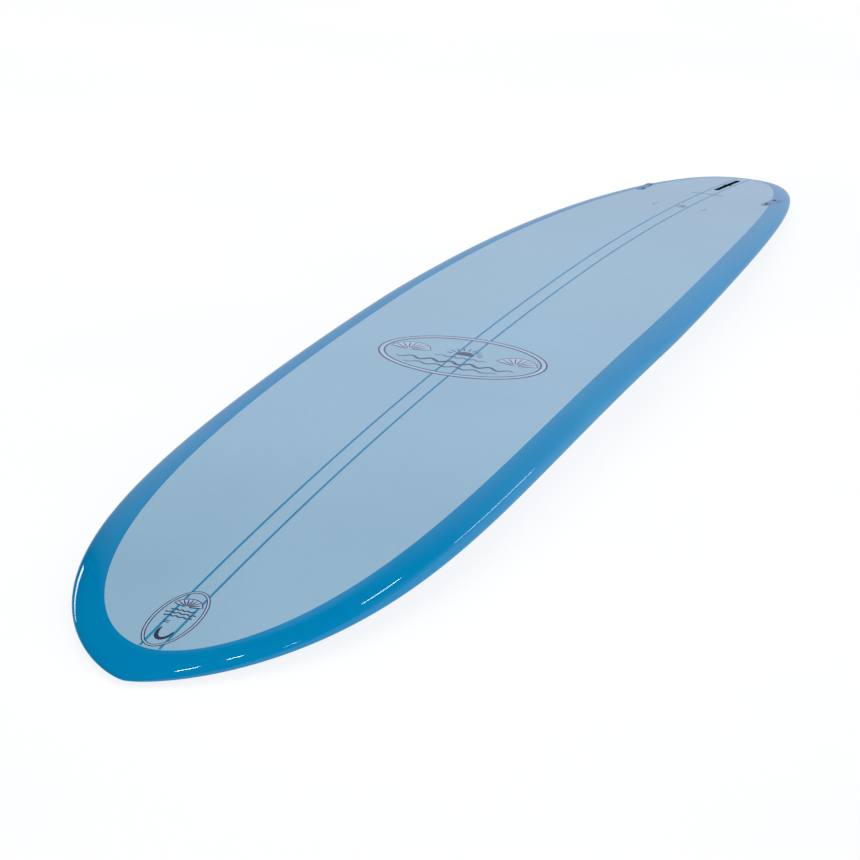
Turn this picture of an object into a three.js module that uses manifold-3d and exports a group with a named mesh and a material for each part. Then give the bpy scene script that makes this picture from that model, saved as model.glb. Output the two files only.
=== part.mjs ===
// A glassed longboard surfboard with one long centre fin box, lying on its deck.
// Millimetres. +X runs from tail to nose, +Z points out of the bottom of the board,
// and the origin is on the floor, under the middle of the board's length.
import * as THREE from 'three';
import { mergeVertices } from 'three/addons/utils/BufferGeometryUtils.js';
import Module from 'manifold-3d';

// Plan outline. Each curve is a superellipse, given by its two exponents: along and across.
const LENGTH = 2896;
const WIDTH = 564;
const WIDE_POINT = 52;
const NOSE_CURVE = [5.96, 1.41];
const TAIL_CURVE = [1.49, 2.75];

// The rail laminate reaches from the bottom lap line round the rail to the deck lap line.
const RAIL_BAND = 46;
const NOSE_BAND = 65;
const TAIL_BAND = 46;
const LAP_NOSE_CURVE = [4.79, 1.88];
const LAP_TAIL_CURVE = [1.55, 2.53];
const DECK_LAP = 60;

// Rocker: how far each end curves away from the highest point of the bottom.
const CREST = -217;
const NOSE_ROCKER = 116;
const NOSE_LIFT_POWER = 2.22;
const TAIL_ROCKER = 73;
const TAIL_LIFT_POWER = 1.93;

// Thickness at the middle, top to bottom: bottom roll, deck roll and the crown of the deck.
const BOTTOM_ROLL = 21.5;
const DECK_ROLL = 20.9;
const DECK_CROWN = 29;
const BELLY = 4;
const TIP_SHARE = 0.34;
const FOIL_POWER = 0.55;

// Laminate, stringer and the space between neighbouring pieces.
const SKIN = 1;
const GAP = 0.3;
const CORE_GAP = 0.4;
const FLUSH = 0.05;
const STRINGER_WIDTH = 5;

// Centre fin box: outside size, the slot for the fin's base and the track for its nut.
const FIN_BOX = { length: 216, width: 24, depth: 24, middle: -1264 };
const FIN_BOX_RIM = { width: 1.2, foot: -4 };
const FIN_SLOT = { length: 192, width: 9.6, depth: 22, draft: 0.15 };
const NUT_TRACK = { length: 188, width: 14.6, top: -9.8, bottom: -14 };
const NUT_NOTCH = { length: 14, width: 15.2 };
const FIN_BLOCK_MARGIN = 12;
const NUT_PLATE = { length: 12, width: 13.6, top: -10.3, bottom: -13.5, middle: -68 };
const FIN_SCREW = { radius: 2, head: 3.9, chamfer: 0.8, headTop: -3.4, headBottom: -6, tip: -19 };
const FIN_DRIVE = { width: 1.1, depth: 1.3 };

// Side fin boxes, one near each rail, each with two tab slots and two grub screws.
const SIDE_BOX = { length: 116, width: 20, depth: 15, x: -1104, y: 148, toeIn: 2 };
const TAB_SLOT = { length: 25, width: 6.4, depth: 12.5, along: 30, across: -2.5 };
const GRUB = { radius: 2.45, top: -1, bottom: -8, across: 5.4, along: 30, drive: 1.45, driveDepth: 3 };
const SIDE_BLOCK = { margin: 9, depth: 24 };

// Leash plug and vent plug, both set in the deck beside the stringer.
const LEASH = { x: -1282, y: 52, radius: 14.5, hollow: 11, depth: 19, floor: 3 };
const LEASH_BAR = { radius: 1.6, depth: 5, reach: 13, hole: 13.5, sides: 12 };
const LEASH_BLOCK = { radius: 22, depth: 22 };
const VENT = { x: 930, y: 55, radius: 11, bore: 4.3, recess: 6.8, recessDepth: 4.9, depth: 18 };
const VENT_SCREW = { shank: 4, head: 6.2, headTop: -0.5, headBottom: -2.7, tip: -13, chamfer: 0.6 };
const VENT_DRIVE = { width: 1.4, depth: 0.7 };
const O_RING = { radius: 5.2, section: 0.75, middle: -3.8 };

// How finely the board is divided: from tail to nose, across a panel, and round the rail.
const STATIONS = 36;
const COLUMNS = 4;
const RAIL_TURNS = [0, 35, 65, 90];
const ROUND_SEGMENTS = 20;
const END_SEGMENTS = 6;
const RING_SEGMENTS = 8;

// Cutting tools and blanks start this far above the surface, and the fin box's block goes right through.
const ABOVE = 12;
const THROUGH = 80;
const TALLER_THAN_BOARD = 400;

const HALF = LENGTH / 2;
const BOTTOM = 1;
const DECK = -1;
const RIM = { nose: HALF, tail: HALF, half: WIDTH / 2, noseCurve: NOSE_CURVE, tailCurve: TAIL_CURVE };
const LAP = {
  nose: HALF - NOSE_BAND,
  tail: HALF - TAIL_BAND,
  half: WIDTH / 2 - RAIL_BAND,
  noseCurve: LAP_NOSE_CURVE,
  tailCurve: LAP_TAIL_CURVE,
};

const wasm = await Module();
wasm.setup();

// ---------- the shape of the board ----------

// Half the width of the rim or the lap line at x.
function halfWidth(x, line) {
  const ahead = x > WIDE_POINT;
  const reach = ahead ? line.nose - WIDE_POINT : line.tail + WIDE_POINT;
  const [along, across] = ahead ? line.noseCurve : line.tailCurve;
  const share = Math.min(Math.abs(x - WIDE_POINT) / reach, 1);
  return line.half * (1 - share ** along) ** (1 / across);
}

// How far the bottom has curved away at x.
function rocker(x) {
  if (x > CREST) {
    return NOSE_ROCKER * ((x - CREST) / (HALF - CREST)) ** NOSE_LIFT_POWER;
  }
  return TAIL_ROCKER * ((CREST - x) / (HALF + CREST)) ** TAIL_LIFT_POWER;
}

// The share of the middle's thickness that is left at x.
function foil(x) {
  const share = Math.cos((Math.PI * x) / LENGTH);
  return TIP_SHARE + (1 - TIP_SHARE) * Math.max(share, 0) ** FOIL_POWER;
}

// The board lies on its deck, so its lean and its height follow from where its ends touch the floor.
const pose = { lean: 0, lift: 0 };

// Height of the bottom or deck surface. roll is 1 on the panels and falls to 0 at the rail's apex.
function height(side, x, y, roll, inset) {
  const apex = pose.lift + pose.lean * x - rocker(x) - BELLY * (y / RIM.half) ** 2 - BOTTOM_ROLL * foil(x);
  if (side === BOTTOM) {
    return apex + (BOTTOM_ROLL * foil(x) - inset) * roll;
  }
  const crown = (DECK_CROWN * Math.max(halfWidth(x, RIM) ** 2 - y ** 2, 0)) / RIM.half ** 2;
  return apex - (DECK_ROLL * foil(x) - inset) * roll - crown;
}

// Lowest point of the deck towards one end, on the centre line.
function lowestPoint(end) {
  let lowest = { x: 0, z: Infinity };
  for (let inside = 0; inside < HALF / 2; inside += 1) {
    const x = end * (HALF - inside);
    const open = Math.max(1 - inside / DECK_LAP, 0);
    const z = height(DECK, x, 0, Math.sqrt(1 - open ** 2), 0);
    if (z < lowest.z) {
      lowest = { x, z };
    }
  }
  return lowest;
}

function settle() {
  for (let round = 0; round < 4; round += 1) {
    const nose = lowestPoint(1);
    const tail = lowestPoint(-1);
    pose.lean -= (nose.z - tail.z) / (nose.x - tail.x);
    pose.lift -= lowestPoint(1).z;
  }
}
settle();

// ---------- points on the board ----------

// The plan points of station i on the +Y side: one on the rim and one on the lap line inside it.
function spoke(i) {
  const share = Math.sin(Math.PI * (i / STATIONS - 0.5));
  return [RIM, LAP].map((line) => {
    const x = share * (share > 0 ? line.nose : line.tail);
    return new THREE.Vector2(x, halfWidth(x, line));
  });
}

// Where the rail laminate ends at station i. gap moves the point further in.
function lapPoint(side, i, gap) {
  const [rim, lap] = spoke(i);
  const share = side === BOTTOM ? 1 : DECK_LAP / RAIL_BAND;
  return rim.clone().lerp(lap, share + gap / rim.distanceTo(lap));
}

// A point round the rail. turn is 0 at the lap line and 90 degrees at the apex.
function railPoint(side, j, turn, inset) {
  const i = j <= STATIONS ? j : 2 * STATIONS - j;
  const [rim] = spoke(i);
  const inner = lapPoint(side, i, 0);
  const angle = THREE.MathUtils.degToRad(turn);
  const plan = inner.clone().lerp(rim, Math.sin(angle) * (1 - inset / rim.distanceTo(inner)));
  const y = j <= STATIONS ? plan.y : -plan.y;
  return new THREE.Vector3(plan.x, y, height(side, plan.x, y, Math.cos(angle), inset));
}

// The rail's section from the bottom lap line to the deck lap line, as closed rows of points.
function railRows(inset) {
  const section = RAIL_TURNS.map((turn) => [BOTTOM, turn]);
  RAIL_TURNS.slice(0, -1).reverse().forEach((turn) => section.push([DECK, turn]));
  return section.map(([side, turn]) => {
    const row = [];
    for (let j = 0; j < 2 * STATIONS; j += 1) {
      row.push(railPoint(side, j, turn, inset));
    }
    return row;
  });
}

// Rows of points across the bottom or deck panel, each from the -Y edge to the +Y edge.
function panelRows(side, inset, gap) {
  const rows = [];
  for (let i = 0; i <= STATIONS; i += 1) {
    const edge = lapPoint(side, i, i > 0 && i < STATIONS ? gap : gap / 2);
    const row = [];
    for (let column = 0; column <= COLUMNS; column += 1) {
      const y = edge.y * ((2 * column) / COLUMNS - 1);
      row.push(new THREE.Vector3(edge.x, y, height(side, edge.x, y, 1, inset)));
    }
    rows.push(row);
  }
  return rows;
}

function panelEdge(rows) {
  const edge = [];
  for (let j = 0; j < 2 * STATIONS; j += 1) {
    edge.push(j <= STATIONS ? rows[j][COLUMNS] : rows[2 * STATIONS - j][0]);
  }
  return edge;
}

// ---------- from points to closed bodies ----------

// Faces between rows of points. A face with two equal corners is left out.
function weave(rows, closedRows, flip) {
  const corners = [];
  const addFace = (a, b, c) => {
    if (a.distanceTo(b) > 1e-6 && b.distanceTo(c) > 1e-6 && c.distanceTo(a) > 1e-6) {
      corners.push(...(flip ? [a, c, b] : [a, b, c]));
    }
  };
  for (let r = 0; r + 1 < rows.length; r += 1) {
    const count = rows[r].length;
    for (let k = 0; k < (closedRows ? count : count - 1); k += 1) {
      const next = (k + 1) % count;
      addFace(rows[r][k], rows[r][next], rows[r + 1][next]);
      addFace(rows[r][k], rows[r + 1][next], rows[r + 1][k]);
    }
  }
  return corners;
}

function closedGeometry(...faceLists) {
  return mergeVertices(new THREE.BufferGeometry().setFromPoints(faceLists.flat()));
}

// The whole board, inset from its outer surface.
function boardGeometry(inset) {
  return closedGeometry(
    weave(railRows(inset), true, false),
    weave(panelRows(BOTTOM, inset, 0), false, true),
    weave(panelRows(DECK, inset, 0), false, false),
  );
}

function solidFrom(geometry) {
  const bare = geometry.clone();
  bare.deleteAttribute('normal');
  bare.deleteAttribute('uv');
  const merged = mergeVertices(bare);
  const mesh = new wasm.Mesh({
    numProp: 3,
    vertProperties: new Float32Array(merged.attributes.position.array),
    triVerts: new Uint32Array(merged.index.array),
  });
  return new wasm.Manifold(mesh);
}

function geometryOf(solid) {
  const { vertProperties, triVerts } = solid.getMesh();
  const geometry = new THREE.BufferGeometry();
  geometry.setAttribute('position', new THREE.BufferAttribute(new Float32Array(vertProperties), 3));
  geometry.setIndex(new THREE.BufferAttribute(new Uint32Array(triVerts), 1));
  return geometry;
}

const core = solidFrom(boardGeometry(SKIN + CORE_GAP));
const flushBoard = solidFrom(boardGeometry(FLUSH));

// ---------- frames and plain shapes for the fittings ----------

// A frame on the bottom or deck at x, y: +Z leaves the board and +X points to the nose, turned by toeIn.
function frameAt(side, x, y, toeIn) {
  const at = (dx, dy) => new THREE.Vector3(x + dx, y + dy, height(side, x + dx, y + dy, 1, 0));
  const forward = at(1, 0).sub(at(-1, 0)).normalize();
  const across = at(0, 1).sub(at(0, -1)).normalize();
  const out = forward.clone().cross(across).multiplyScalar(side).normalize();
  const ahead = forward.applyAxisAngle(out, THREE.MathUtils.degToRad(toeIn));
  return new THREE.Matrix4().makeBasis(ahead, out.clone().cross(ahead), out).setPosition(at(0, 0));
}

// A block with round ends, between two heights. draft is how much narrower each side is at the bottom.
function roundEnded(length, width, bottom, top, draft = 0) {
  const radius = width / 2;
  const reach = length / 2 - radius;
  const outline = new THREE.Shape();
  outline.absarc(reach, 0, radius, -Math.PI / 2, Math.PI / 2, false);
  outline.absarc(-reach, 0, radius, Math.PI / 2, (3 * Math.PI) / 2, false);
  const options = { depth: top - bottom, bevelEnabled: false, curveSegments: END_SEGMENTS };
  const shape = new THREE.ExtrudeGeometry(outline, options).translate(0, 0, bottom);
  const { position } = shape.attributes;
  for (let k = 0; k < position.count; k += 1) {
    if (draft > 0 && position.getZ(k) === bottom) {
      position.setX(k, position.getX(k) * (1 - (2 * draft) / length));
      position.setY(k, position.getY(k) * (1 - (2 * draft) / width));
    }
  }
  return shape;
}

function block(length, width, bottom, top) {
  return new THREE.BoxGeometry(length, width, top - bottom).translate(0, 0, (top + bottom) / 2);
}

function post(radius, bottom, top, segments = ROUND_SEGMENTS) {
  const shape = new THREE.CylinderGeometry(radius, radius, top - bottom, segments);
  return shape.rotateX(Math.PI / 2).translate(0, 0, (top + bottom) / 2);
}

// A turned shape from radius and height pairs, standing on the frame's Z axis.
function turned(profile) {
  const points = profile.map(([radius, z]) => new THREE.Vector2(radius, z));
  return new THREE.LatheGeometry(points, ROUND_SEGMENTS).rotateX(Math.PI / 2);
}

function placed(geometry, frame) {
  return solidFrom(geometry.clone().applyMatrix4(frame));
}

// ---------- centre fin box ----------

const finFrame = frameAt(BOTTOM, FIN_BOX.middle, 0, 0);
const finBlockSize = [FIN_BOX.length + 2 * FIN_BLOCK_MARGIN, FIN_BOX.width + 2 * FIN_BLOCK_MARGIN];

// The opening in the bottom laminate: the slot's rim, wider at the notch.
function finBoxRim(grow) {
  const extra = 2 * (FIN_BOX_RIM.width + grow);
  const rim = roundEnded(FIN_SLOT.length + extra, FIN_SLOT.width + extra, FIN_BOX_RIM.foot, ABOVE);
  const notch = block(NUT_NOTCH.length + extra, NUT_NOTCH.width + extra, FIN_BOX_RIM.foot, ABOVE);
  return placed(rim, finFrame).add(placed(notch, finFrame));
}

function centerFinBox() {
  const { length, width, depth } = FIN_BOX;
  const body = placed(roundEnded(length, width, -depth, ABOVE), finFrame).intersect(core);
  const slot = roundEnded(FIN_SLOT.length, FIN_SLOT.width, -FIN_SLOT.depth, ABOVE, FIN_SLOT.draft);
  const notch = block(NUT_NOTCH.length, NUT_NOTCH.width, NUT_TRACK.bottom, ABOVE);
  const track = block(NUT_TRACK.length, NUT_TRACK.width, NUT_TRACK.bottom, NUT_TRACK.top);
  return body
    .add(finBoxRim(0).intersect(flushBoard))
    .subtract(placed(slot, finFrame))
    .subtract(placed(track, finFrame))
    .subtract(placed(notch, finFrame));
}

function finBoxFoam() {
  const { length, width, depth } = FIN_BOX;
  const pocket = roundEnded(length + 2 * GAP, width + 2 * GAP, -depth - GAP, ABOVE);
  return placed(roundEnded(...finBlockSize, -THROUGH, ABOVE), finFrame)
    .intersect(core)
    .subtract(placed(pocket, finFrame));
}

function finBlockPocket() {
  const [length, width] = finBlockSize;
  return placed(roundEnded(length + 2 * GAP, width + 2 * GAP, -THROUGH, ABOVE), finFrame);
}

function finNutPlate() {
  const { length, width, bottom, top, middle } = NUT_PLATE;
  const plate = placed(block(length, width, bottom, top).translate(middle, 0, 0), finFrame);
  const hole = post(FIN_SCREW.radius + GAP, bottom - 1, top + 1).translate(middle, 0, 0);
  return plate.subtract(placed(hole, finFrame));
}

function finScrew() {
  const { radius, head, chamfer, headTop, headBottom, tip } = FIN_SCREW;
  const shape = turned([[0, tip], [radius, tip], [radius, headBottom], [head, headBottom],
    [head, headTop - chamfer], [head - chamfer, headTop], [0, headTop]]);
  const slot = block(3 * head, FIN_DRIVE.width, headTop - FIN_DRIVE.depth, 0);
  const [screw, drive] = [shape, slot].map((piece) => {
    return placed(piece.translate(NUT_PLATE.middle, 0, 0), finFrame);
  });
  return screw.subtract(drive);
}

// ---------- side fin boxes ----------

// hand is 1 on the +Y side and -1 on the -Y side.
function sideFrame(hand) {
  return frameAt(BOTTOM, SIDE_BOX.x, hand * SIDE_BOX.y, -hand * SIDE_BOX.toeIn);
}

function sideOutline(hand, grow, bottom) {
  const { length, width } = SIDE_BOX;
  return placed(roundEnded(length + 2 * grow, width + 2 * grow, bottom, ABOVE), sideFrame(hand));
}

function sideFinBox(hand) {
  let box = sideOutline(hand, 0, -SIDE_BOX.depth).intersect(flushBoard);
  for (const end of [1, -1]) {
    const slot = roundEnded(TAB_SLOT.length, TAB_SLOT.width, -TAB_SLOT.depth, ABOVE);
    const slotPlace = slot.translate(end * TAB_SLOT.along, hand * TAB_SLOT.across, 0);
    const hole = post(GRUB.radius + GAP, GRUB.bottom - GAP, ABOVE);
    const holePlace = hole.translate(end * GRUB.along, hand * GRUB.across, 0);
    box = box.subtract(placed(slotPlace, sideFrame(hand))).subtract(placed(holePlace, sideFrame(hand)));
  }
  return box;
}

function grubScrew(hand, end) {
  const [x, y] = [end * GRUB.along, hand * GRUB.across];
  const shape = post(GRUB.radius, GRUB.bottom, GRUB.top).translate(x, y, 0);
  const socket = post(GRUB.drive, GRUB.top - GRUB.driveDepth, 0, 6).translate(x, y, 0);
  return placed(shape, sideFrame(hand)).subtract(placed(socket, sideFrame(hand)));
}

function sideBoxFoam(hand) {
  return sideOutline(hand, SIDE_BLOCK.margin, -SIDE_BLOCK.depth)
    .intersect(core)
    .subtract(sideOutline(hand, GAP, -SIDE_BOX.depth - GAP));
}

// ---------- leash plug and vent plug ----------

const leashFrame = frameAt(DECK, LEASH.x, LEASH.y, 0);
const ventFrame = frameAt(DECK, VENT.x, VENT.y, 0);

function leashBar(radius, reach) {
  const bar = post(radius, -reach, reach, LEASH_BAR.sides).rotateX(Math.PI / 2);
  return placed(bar.translate(0, 0, -LEASH_BAR.depth), leashFrame);
}

function leashPlugCup() {
  const { radius, hollow, depth, floor } = LEASH;
  const cup = turned([[0, -depth], [radius, -depth], [radius, ABOVE], [hollow, ABOVE],
    [hollow, floor - depth], [0, floor - depth]]);
  return placed(cup, leashFrame)
    .intersect(flushBoard)
    .subtract(leashBar(LEASH_BAR.radius + GAP, LEASH_BAR.hole));
}

function leashPlugFoam() {
  return placed(post(LEASH_BLOCK.radius, -LEASH_BLOCK.depth, ABOVE), leashFrame)
    .intersect(core)
    .subtract(placed(post(LEASH.radius + GAP, -LEASH.depth - GAP, ABOVE), leashFrame));
}

function ventPlugBody() {
  const { radius, bore, recess, recessDepth, depth } = VENT;
  const body = turned([[bore, -depth], [radius, -depth], [radius, ABOVE], [recess, ABOVE],
    [recess, -recessDepth], [bore, -recessDepth], [bore, -depth]]);
  return placed(body, ventFrame).intersect(flushBoard);
}

function ventScrew() {
  const { shank, head, headTop, headBottom, tip, chamfer } = VENT_SCREW;
  const shape = turned([[0, tip], [shank - chamfer, tip], [shank, tip + chamfer], [shank, headBottom],
    [head, headBottom], [head, headTop - chamfer], [head - chamfer, headTop], [0, headTop]]);
  const slot = block(3 * head, VENT_DRIVE.width, headTop - VENT_DRIVE.depth, ABOVE);
  return placed(shape, ventFrame).subtract(placed(slot, ventFrame));
}

function ventORing() {
  const ring = new THREE.TorusGeometry(O_RING.radius, O_RING.section, RING_SEGMENTS, ROUND_SEGMENTS);
  return ring.translate(0, 0, O_RING.middle).applyMatrix4(ventFrame);
}

// ---------- blank and laminates ----------

function pocketsInCore() {
  return [
    finBlockPocket(),
    ...[1, -1].map((hand) => sideOutline(hand, SIDE_BLOCK.margin + GAP, -SIDE_BLOCK.depth - GAP)),
    placed(post(LEASH_BLOCK.radius + GAP, -LEASH_BLOCK.depth - GAP, ABOVE), leashFrame),
    placed(post(VENT.radius + GAP, -VENT.depth - GAP, ABOVE), ventFrame),
  ];
}

function cut(solid, tools) {
  return tools.reduce((rest, tool) => rest.subtract(tool), solid);
}

function foamCore(hand) {
  const inner = STRINGER_WIDTH / 2 + GAP;
  const half = new THREE.BoxGeometry(LENGTH, WIDTH, TALLER_THAN_BOARD);
  const beside = half.translate(0, hand * (WIDTH / 2 + inner), 0);
  return cut(core.intersect(solidFrom(beside)), pocketsInCore());
}

// The fin box's block is let in right through the stringer, so a short piece is left behind it.
function stringer(behindBlock) {
  const slab = new THREE.BoxGeometry(LENGTH, STRINGER_WIDTH, TALLER_THAN_BOARD);
  const split = FIN_BOX.middle + (behindBlock ? -HALF : HALF);
  return core.intersect(solidFrom(slab.translate(split, 0, 0))).subtract(finBlockPocket());
}

function railSkin() {
  const outer = railRows(0);
  const inner = railRows(SKIN).reverse();
  const shell = closedGeometry(weave([...outer, ...inner, outer[0]], true, false));
  return cut(solidFrom(shell), [1, -1].map((hand) => sideOutline(hand, GAP, -SIDE_BOX.depth)));
}

function panelSkin(side, tools) {
  const outer = panelRows(side, 0, GAP);
  const inner = panelRows(side, SKIN, GAP);
  const down = side === BOTTOM;
  const shell = closedGeometry(
    weave(outer, false, down),
    weave(inner, false, !down),
    weave([panelEdge(outer), panelEdge(inner)], true, !down),
  );
  return cut(solidFrom(shell), tools);
}

function bottomSkin() {
  const sides = [1, -1].map((hand) => sideOutline(hand, GAP, -SIDE_BOX.depth));
  return panelSkin(BOTTOM, [finBoxRim(GAP), ...sides]);
}

function deckSkin() {
  const leash = placed(post(LEASH.radius + GAP, -LEASH.depth, ABOVE), leashFrame);
  const vent = placed(post(VENT.radius + GAP, -VENT.depth, ABOVE), ventFrame);
  return panelSkin(DECK, [leash, vent]);
}

// ---------- assembly ----------

const FINISHES = {
  paleGlass: { color: 0x9cbcd6, roughness: 0.12, metalness: 0 },
  blueGlass: { color: 0x1f7fb4, roughness: 0.12, metalness: 0 },
  foam: { color: 0xf1efe6, roughness: 0.9, metalness: 0 },
  denseFoam: { color: 0xd9c9a0, roughness: 0.9, metalness: 0 },
  wood: { color: 0xc79a62, roughness: 0.7, metalness: 0 },
  blackPlastic: { color: 0x0c1016, roughness: 0.45, metalness: 0 },
  palePlastic: { color: 0xb4c2d2, roughness: 0.4, metalness: 0 },
  brass: { color: 0xc9a24a, roughness: 0.35, metalness: 1 },
  steel: { color: 0xb8bcc2, roughness: 0.3, metalness: 1 },
  rubber: { color: 0x1a1a1a, roughness: 0.8, metalness: 0 },
};

const board = new THREE.Group();

function add(name, finish, shape) {
  const geometry = shape.isBufferGeometry ? shape : geometryOf(shape);
  const mesh = new THREE.Mesh(geometry, new THREE.MeshStandardMaterial(FINISHES[finish]));
  mesh.name = name;
  board.add(mesh);
}

add('bottom_skin', 'paleGlass', bottomSkin());
add('rail_skin', 'blueGlass', railSkin());
add('deck_skin', 'paleGlass', deckSkin());
add('foam_core_left', 'foam', foamCore(-1));
add('foam_core_right', 'foam', foamCore(1));
add('stringer', 'wood', stringer(false));
add('stringer_tail_end', 'wood', stringer(true));
add('center_fin_box', 'blackPlastic', centerFinBox());
add('fin_box_foam', 'denseFoam', finBoxFoam());
add('fin_nut_plate', 'brass', finNutPlate());
add('fin_screw', 'steel', finScrew());
for (const [side, hand] of [['left', -1], ['right', 1]]) {
  add(`side_fin_box_${side}`, 'palePlastic', sideFinBox(hand));
  add(`side_box_foam_${side}`, 'denseFoam', sideBoxFoam(hand));
  add(`grub_screw_${side}_front`, 'steel', grubScrew(hand, 1));
  add(`grub_screw_${side}_rear`, 'steel', grubScrew(hand, -1));
}
add('leash_plug_cup', 'blackPlastic', leashPlugCup());
add('leash_plug_bar', 'steel', leashBar(LEASH_BAR.radius, LEASH_BAR.reach));
add('leash_plug_foam', 'denseFoam', leashPlugFoam());
add('vent_plug_body', 'blackPlastic', ventPlugBody());
add('vent_screw', 'blackPlastic', ventScrew());
add('vent_o_ring', 'rubber', ventORing());

export default board;
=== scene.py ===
# %% [markdown]
# # A glassed longboard, bottom up
#
# The board is a shaped foam blank with a wood stringer, wrapped in tinted glass cloth and resin.
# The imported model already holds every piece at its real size, but its skins have flat facets.
# This lesson keeps that frame and gives the board its smooth surfaces, its printed marks and the
# glossy finishes that a person would see. Loading the frame comes first, because everything
# else is placed by it.

# %% Load the frame
import math

import bmesh
import bpy
from mathutils import Matrix, Vector


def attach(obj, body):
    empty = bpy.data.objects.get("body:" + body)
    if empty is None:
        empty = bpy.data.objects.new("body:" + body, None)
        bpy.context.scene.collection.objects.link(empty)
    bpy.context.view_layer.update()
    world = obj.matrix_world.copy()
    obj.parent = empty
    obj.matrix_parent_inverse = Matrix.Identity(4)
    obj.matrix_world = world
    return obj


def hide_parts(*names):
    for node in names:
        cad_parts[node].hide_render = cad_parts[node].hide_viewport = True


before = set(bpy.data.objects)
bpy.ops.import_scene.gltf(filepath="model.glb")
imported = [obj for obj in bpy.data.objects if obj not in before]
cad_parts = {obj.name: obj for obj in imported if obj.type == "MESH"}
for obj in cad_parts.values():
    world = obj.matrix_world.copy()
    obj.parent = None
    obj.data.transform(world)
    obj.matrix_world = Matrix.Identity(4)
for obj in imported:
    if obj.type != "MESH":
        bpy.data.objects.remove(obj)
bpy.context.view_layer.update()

scene = bpy.context.scene
scene.view_settings.view_transform = "Standard"
print("nodes:", len(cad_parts))

# %% [markdown]
# ## The shape of the board
#
# A shaper draws a board with a few curves: the plan outline, the rocker, the foil (how the
# thickness fades to the ends) and the rail's roll. Each is a short formula here, with the same
# driving dimensions as the frame's parts, in millimetres. A formula is better than a drawn
# outline, because the surface stays smooth however finely it is divided.

# %% Driving dimensions, in millimetres
MM = 0.001
LENGTH, WIDTH = 2896, 564
HALF = LENGTH / 2
WIDE_POINT = 52
RIM = {
    "nose": HALF,
    "tail": HALF,
    "half": WIDTH / 2,
    "nose_curve": (5.96, 1.41),
    "tail_curve": (1.49, 2.75),
}
RAIL_BAND, NOSE_BAND, TAIL_BAND, DECK_LAP = 46, 65, 46, 60
LAP = {
    "nose": HALF - NOSE_BAND,
    "tail": HALF - TAIL_BAND,
    "half": WIDTH / 2 - RAIL_BAND,
    "nose_curve": (4.79, 1.88),
    "tail_curve": (1.55, 2.53),
}
CREST, NOSE_ROCKER, NOSE_POWER, TAIL_ROCKER, TAIL_POWER = -217, 116, 2.22, 73, 1.93
BOTTOM_ROLL, DECK_ROLL, DECK_CROWN, BELLY = 21.5, 20.9, 29, 4
TIP_SHARE, FOIL_POWER = 0.34, 0.55
SKIN, GAP, FLUSH = 1, 0.3, 0.05
BOTTOM, DECK = 1, -1
pose = {"lean": 0.0, "lift": 0.0}


def half_width(x, line):
    """Half the width of the rim or the lap line at x."""
    ahead = x > WIDE_POINT
    reach = line["nose"] - WIDE_POINT if ahead else line["tail"] + WIDE_POINT
    along, across = line["nose_curve"] if ahead else line["tail_curve"]
    share = min(abs(x - WIDE_POINT) / reach, 1)
    return line["half"] * (1 - share**along) ** (1 / across)


def rocker(x):
    """How far the bottom has curved away at x."""
    if x > CREST:
        return NOSE_ROCKER * ((x - CREST) / (HALF - CREST)) ** NOSE_POWER
    return TAIL_ROCKER * ((CREST - x) / (HALF + CREST)) ** TAIL_POWER


def foil(x):
    """The share of the middle's thickness that is left at x."""
    return TIP_SHARE + (1 - TIP_SHARE) * max(math.cos(math.pi * x / LENGTH), 0) ** FOIL_POWER


def height(side, x, y, roll=1.0, above=0.0):
    """Height of the bottom or deck. roll is 1 on the panels and falls to 0 at the rail's apex."""
    spine = pose["lift"] + pose["lean"] * x - rocker(x)
    apex = spine - BELLY * (y / RIM["half"]) ** 2 - BOTTOM_ROLL * foil(x)
    if side == BOTTOM:
        return apex + (BOTTOM_ROLL * foil(x) + above) * roll
    crown = DECK_CROWN * max(half_width(x, RIM) ** 2 - y**2, 0) / RIM["half"] ** 2
    return apex - (DECK_ROLL * foil(x) + above) * roll - crown


def lowest_point(end):
    """Where the deck comes lowest towards one end, on the centre line, as (height, x)."""
    found = []
    for inside in range(0, int(HALF / 2)):
        x = end * (HALF - inside)
        opening = max(1 - inside / DECK_LAP, 0)
        found.append((height(DECK, x, 0, math.sqrt(1 - opening**2)), x))
    return min(found)


for _ in range(4):
    nose_low, tail_low = lowest_point(1), lowest_point(-1)
    pose["lean"] -= (nose_low[0] - tail_low[0]) / (nose_low[1] - tail_low[1])
    pose["lift"] -= lowest_point(1)[0]
print(f"lean {pose['lean']:.5f}, lift {pose['lift']:.2f} mm")

# %% [markdown]
# ## Points on the surface
#
# The board is divided like a leaf: stations from tail to nose, and at each one a spoke from the
# rim in to the lap line, where the rail's cloth ends. The stations crowd towards the ends, where
# the outline turns fastest. The rail rolls over the spoke in a quarter ellipse on each side.

# %% Spokes, rail and panels
def spoke(share):
    """The rim point and the lap point at a share of the length, -1 at the tail and 1 at the nose."""
    points = []
    for line in (RIM, LAP):
        x = share * (line["nose"] if share > 0 else line["tail"])
        points.append(Vector((x, half_width(x, line))))
    return points


def lap_point(side, share):
    rim, lap = spoke(share)
    return rim.lerp(lap, 1 if side == BOTTOM else DECK_LAP / RAIL_BAND)


def rail_point(along, around):
    """A point of the rail. along goes once round the board, around from bottom lap to deck lap."""
    hand = 1 if along <= 0 else -1
    share = math.sin(math.pi * (0.5 - abs(along)))
    side = BOTTOM if around <= 0 else DECK
    rim, inner = spoke(share)[0], lap_point(side, share)
    turn = math.pi / 2 * (1 - abs(around))
    plan = inner.lerp(rim, math.sin(turn))
    return Vector((plan.x, hand * plan.y, height(side, plan.x, plan.y, math.cos(turn)))) * MM


def panel_point(side, along, across):
    """A point of the bottom or deck panel. Both run from -1 to 1."""
    edge = lap_point(side, math.sin(math.pi * along / 2))
    y = edge.y * across
    return Vector((edge.x, y, height(side, edge.x, y))) * MM


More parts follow.
